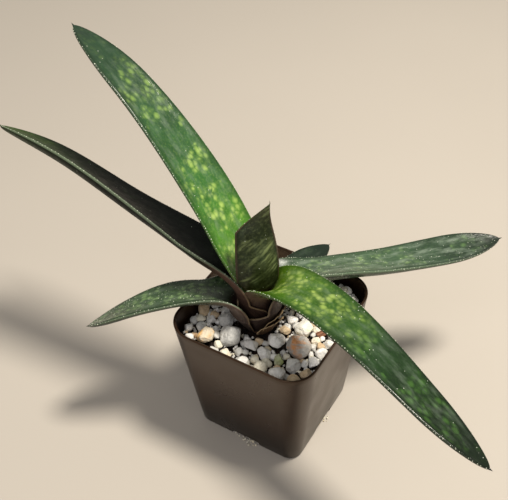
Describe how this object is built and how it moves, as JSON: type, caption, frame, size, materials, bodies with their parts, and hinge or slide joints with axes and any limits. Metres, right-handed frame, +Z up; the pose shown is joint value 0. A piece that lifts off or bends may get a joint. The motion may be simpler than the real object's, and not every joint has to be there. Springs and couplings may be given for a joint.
{
  "type": "potted gasteria",
  "caption": "Strap-leaved spotted succulent in a tapered square nursery pot, dressed with pale pumice stones.",
  "frame": {"origin": "middle of the pot's flat underside", "axes": "+Z up; the pot's faces look along X and Y; the longest leaves point roughly along -X and +X"},
  "size_m": [0.2514, 0.1322, 0.1752],
  "materials": {
    "pot_plastic": "thin moulded black-brown plastic, satin, a little scuffed",
    "potting_mix": "dark crumbly potting mix, rough",
    "stem": "short fleshy stem with pale fleshy roots, dull",
    "leaf_young": "olive to brown-green young leaf, waxy, pale slanting streaks",
    "leaf_spotted": "glossy green leaf with soft yellow-green spots in loose bands",
    "leaf_grey_green": "dull grey-green leaf, fine lengthwise lines and pale flecks",
    "leaf_dark": "very dark green glossy leaf",
    "leaf_mottled": "grey-green leaf with green mottling and small white raised dots",
    "dry_sheath": "thin papery tan sheath of a dead leaf",
    "bark": "brown bark chip, rough",
    "pumice_grey": "rough grey pumice",
    "pumice_white": "rough white pumice and perlite",
    "pumice_cream": "rough cream pumice with a green tinge",
    "pumice_tan": "rough tan pumice"
  },
  "bodies": {
    "root": {"bark_chip": "bark", "dry_sheath_front": "dry_sheath", "dry_sheath_right": "dry_sheath", "leaf_back_right": "leaf_dark", "leaf_centre": "leaf_young", "leaf_far_left": "leaf_dark", "leaf_front_right": "leaf_spotted", "leaf_low_left": "leaf_mottled", "leaf_right": "leaf_grey_green", "leaf_upright_left": "leaf_spotted", "pot": "pot_plastic", "potting_mix": "potting_mix", "stem_and_roots": "stem", "stone_01": "pumice_grey", "stone_02": "pumice_tan", "stone_03": "pumice_grey", "stone_04": "pumice_grey", "stone_05": "pumice_white", "stone_06": "pumice_tan", "stone_07": "pumice_grey", "stone_08": "pumice_grey", "stone_09": "pumice_white", "stone_10": "pumice_grey", "stone_11": "pumice_white", "stone_12": "pumice_cream", "stone_13": "pumice_white", "stone_14": "pumice_cream", "stone_15": "pumice_white", "stone_16": "pumice_cream", "stone_17": "pumice_white", "stone_18": "pumice_grey", "stone_19": "pumice_white", "stone_20": "pumice_grey", "stone_21": "pumice_white", "stone_22": "pumice_white", "stone_23": "pumice_white", "stone_24": "pumice_cream", "stone_25": "pumice_white", "stone_26": "pumice_grey", "stone_27": "pumice_grey", "stone_28": "pumice_white", "stone_29": "pumice_white", "stone_30": "pumice_cream", "stone_31": "pumice_tan", "stone_32": "pumice_grey", "stone_33": "pumice_white", "stone_34": "pumice_cream", "stone_35": "pumice_tan", "stone_36": "pumice_grey", "stone_37": "pumice_white", "stone_38": "pumice_cream", "stone_39": "pumice_tan", "stone_40": "pumice_grey", "stone_41": "pumice_white", "stone_42": "pumice_cream", "stone_43": "pumice_tan", "stone_44": "pumice_grey", "stone_45": "pumice_white", "stone_46": "pumice_cream"}
  },
  "joints": []
}
